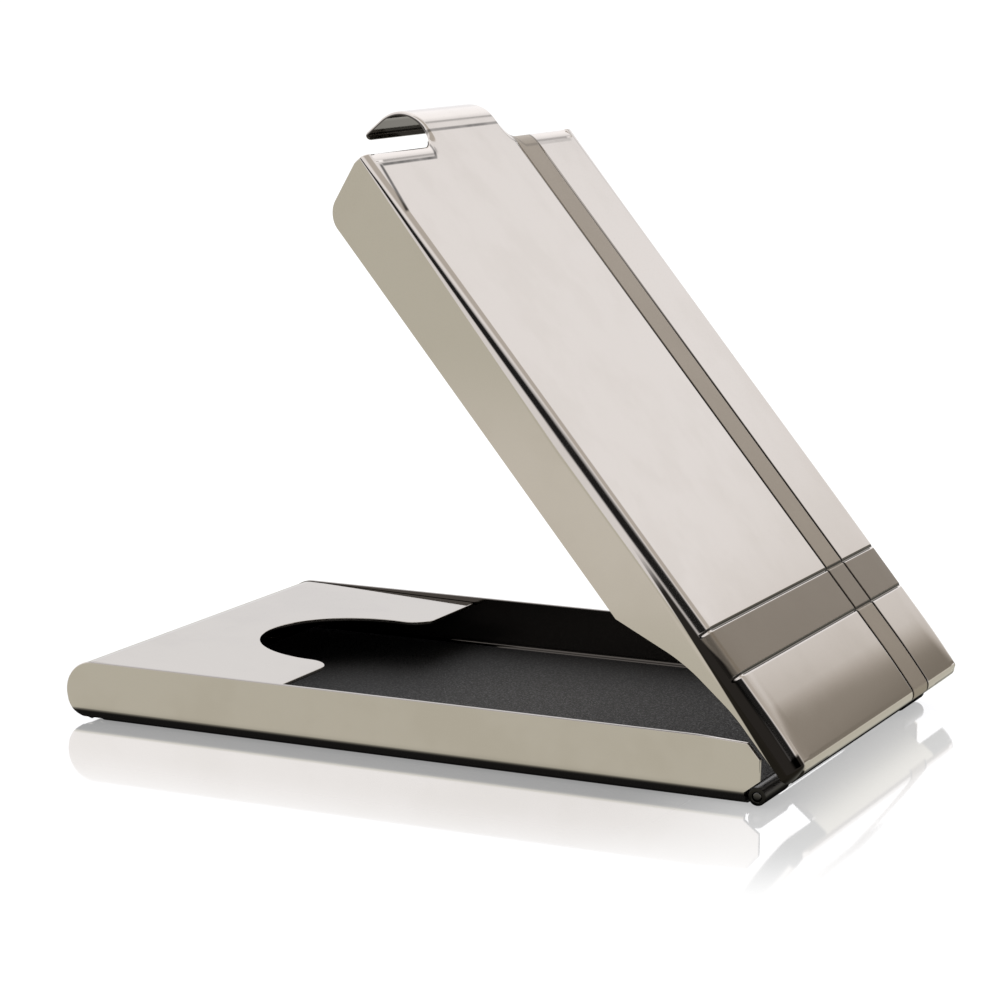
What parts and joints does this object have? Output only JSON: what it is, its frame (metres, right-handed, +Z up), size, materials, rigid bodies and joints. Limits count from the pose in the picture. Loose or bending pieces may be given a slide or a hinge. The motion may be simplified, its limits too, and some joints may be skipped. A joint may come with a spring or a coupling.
{
  "type": "hinged money clip case",
  "caption": "Flat pocket case for notes and cards: a shallow steel tray with a sprung retaining plate and a flip lid with a hooked latch tab.",
  "frame": {"origin": "centre of the tray's flat underside, on the surface that the case lies on", "axes": "+X towards the hinge, -X towards the latch end, +Y across the width, +Z up"},
  "size_m": [0.1046, 0.0618, 0.0811],
  "materials": {
    "polished_case": "polished warm nickel",
    "polished_lid": "polished warm nickel with two satin bands between pressed grooves",
    "mirror_clip": "mirror polished",
    "dark_hinge": "dark bright-rolled steel",
    "hinge_pin": "plain turned steel",
    "dark_liner": "fine-grained matt leatherette"
  },
  "bodies": {
    "base": {"base_tray": "polished_case", "tray_liner": "dark_liner", "clip_anchor": "mirror_clip", "base_hinge_leaf": "dark_hinge", "hinge_pin": "hinge_pin"},
    "clip": {"clip_plate": "mirror_clip"},
    "lid": {"lid_shell": "polished_lid", "lid_liner": "dark_liner", "lid_hinge_leaf": "dark_hinge"}
  },
  "joints": [
    {"name": "lid_hinge", "type": "hinge", "parent": "base", "child": "lid", "pos_m": [0.049, 0, 0.0013], "axis": [0, 1, 0], "range_deg": [-50.3, 39.7]},
    {"name": "clip_flex", "type": "hinge", "parent": "base", "child": "clip", "pos_m": [-0.04584, 0, 0.00406], "axis": [0, -1, 0], "range_deg": [-2, 1.5], "stiffness_Nm_per_rad": 1.5}
  ]
}
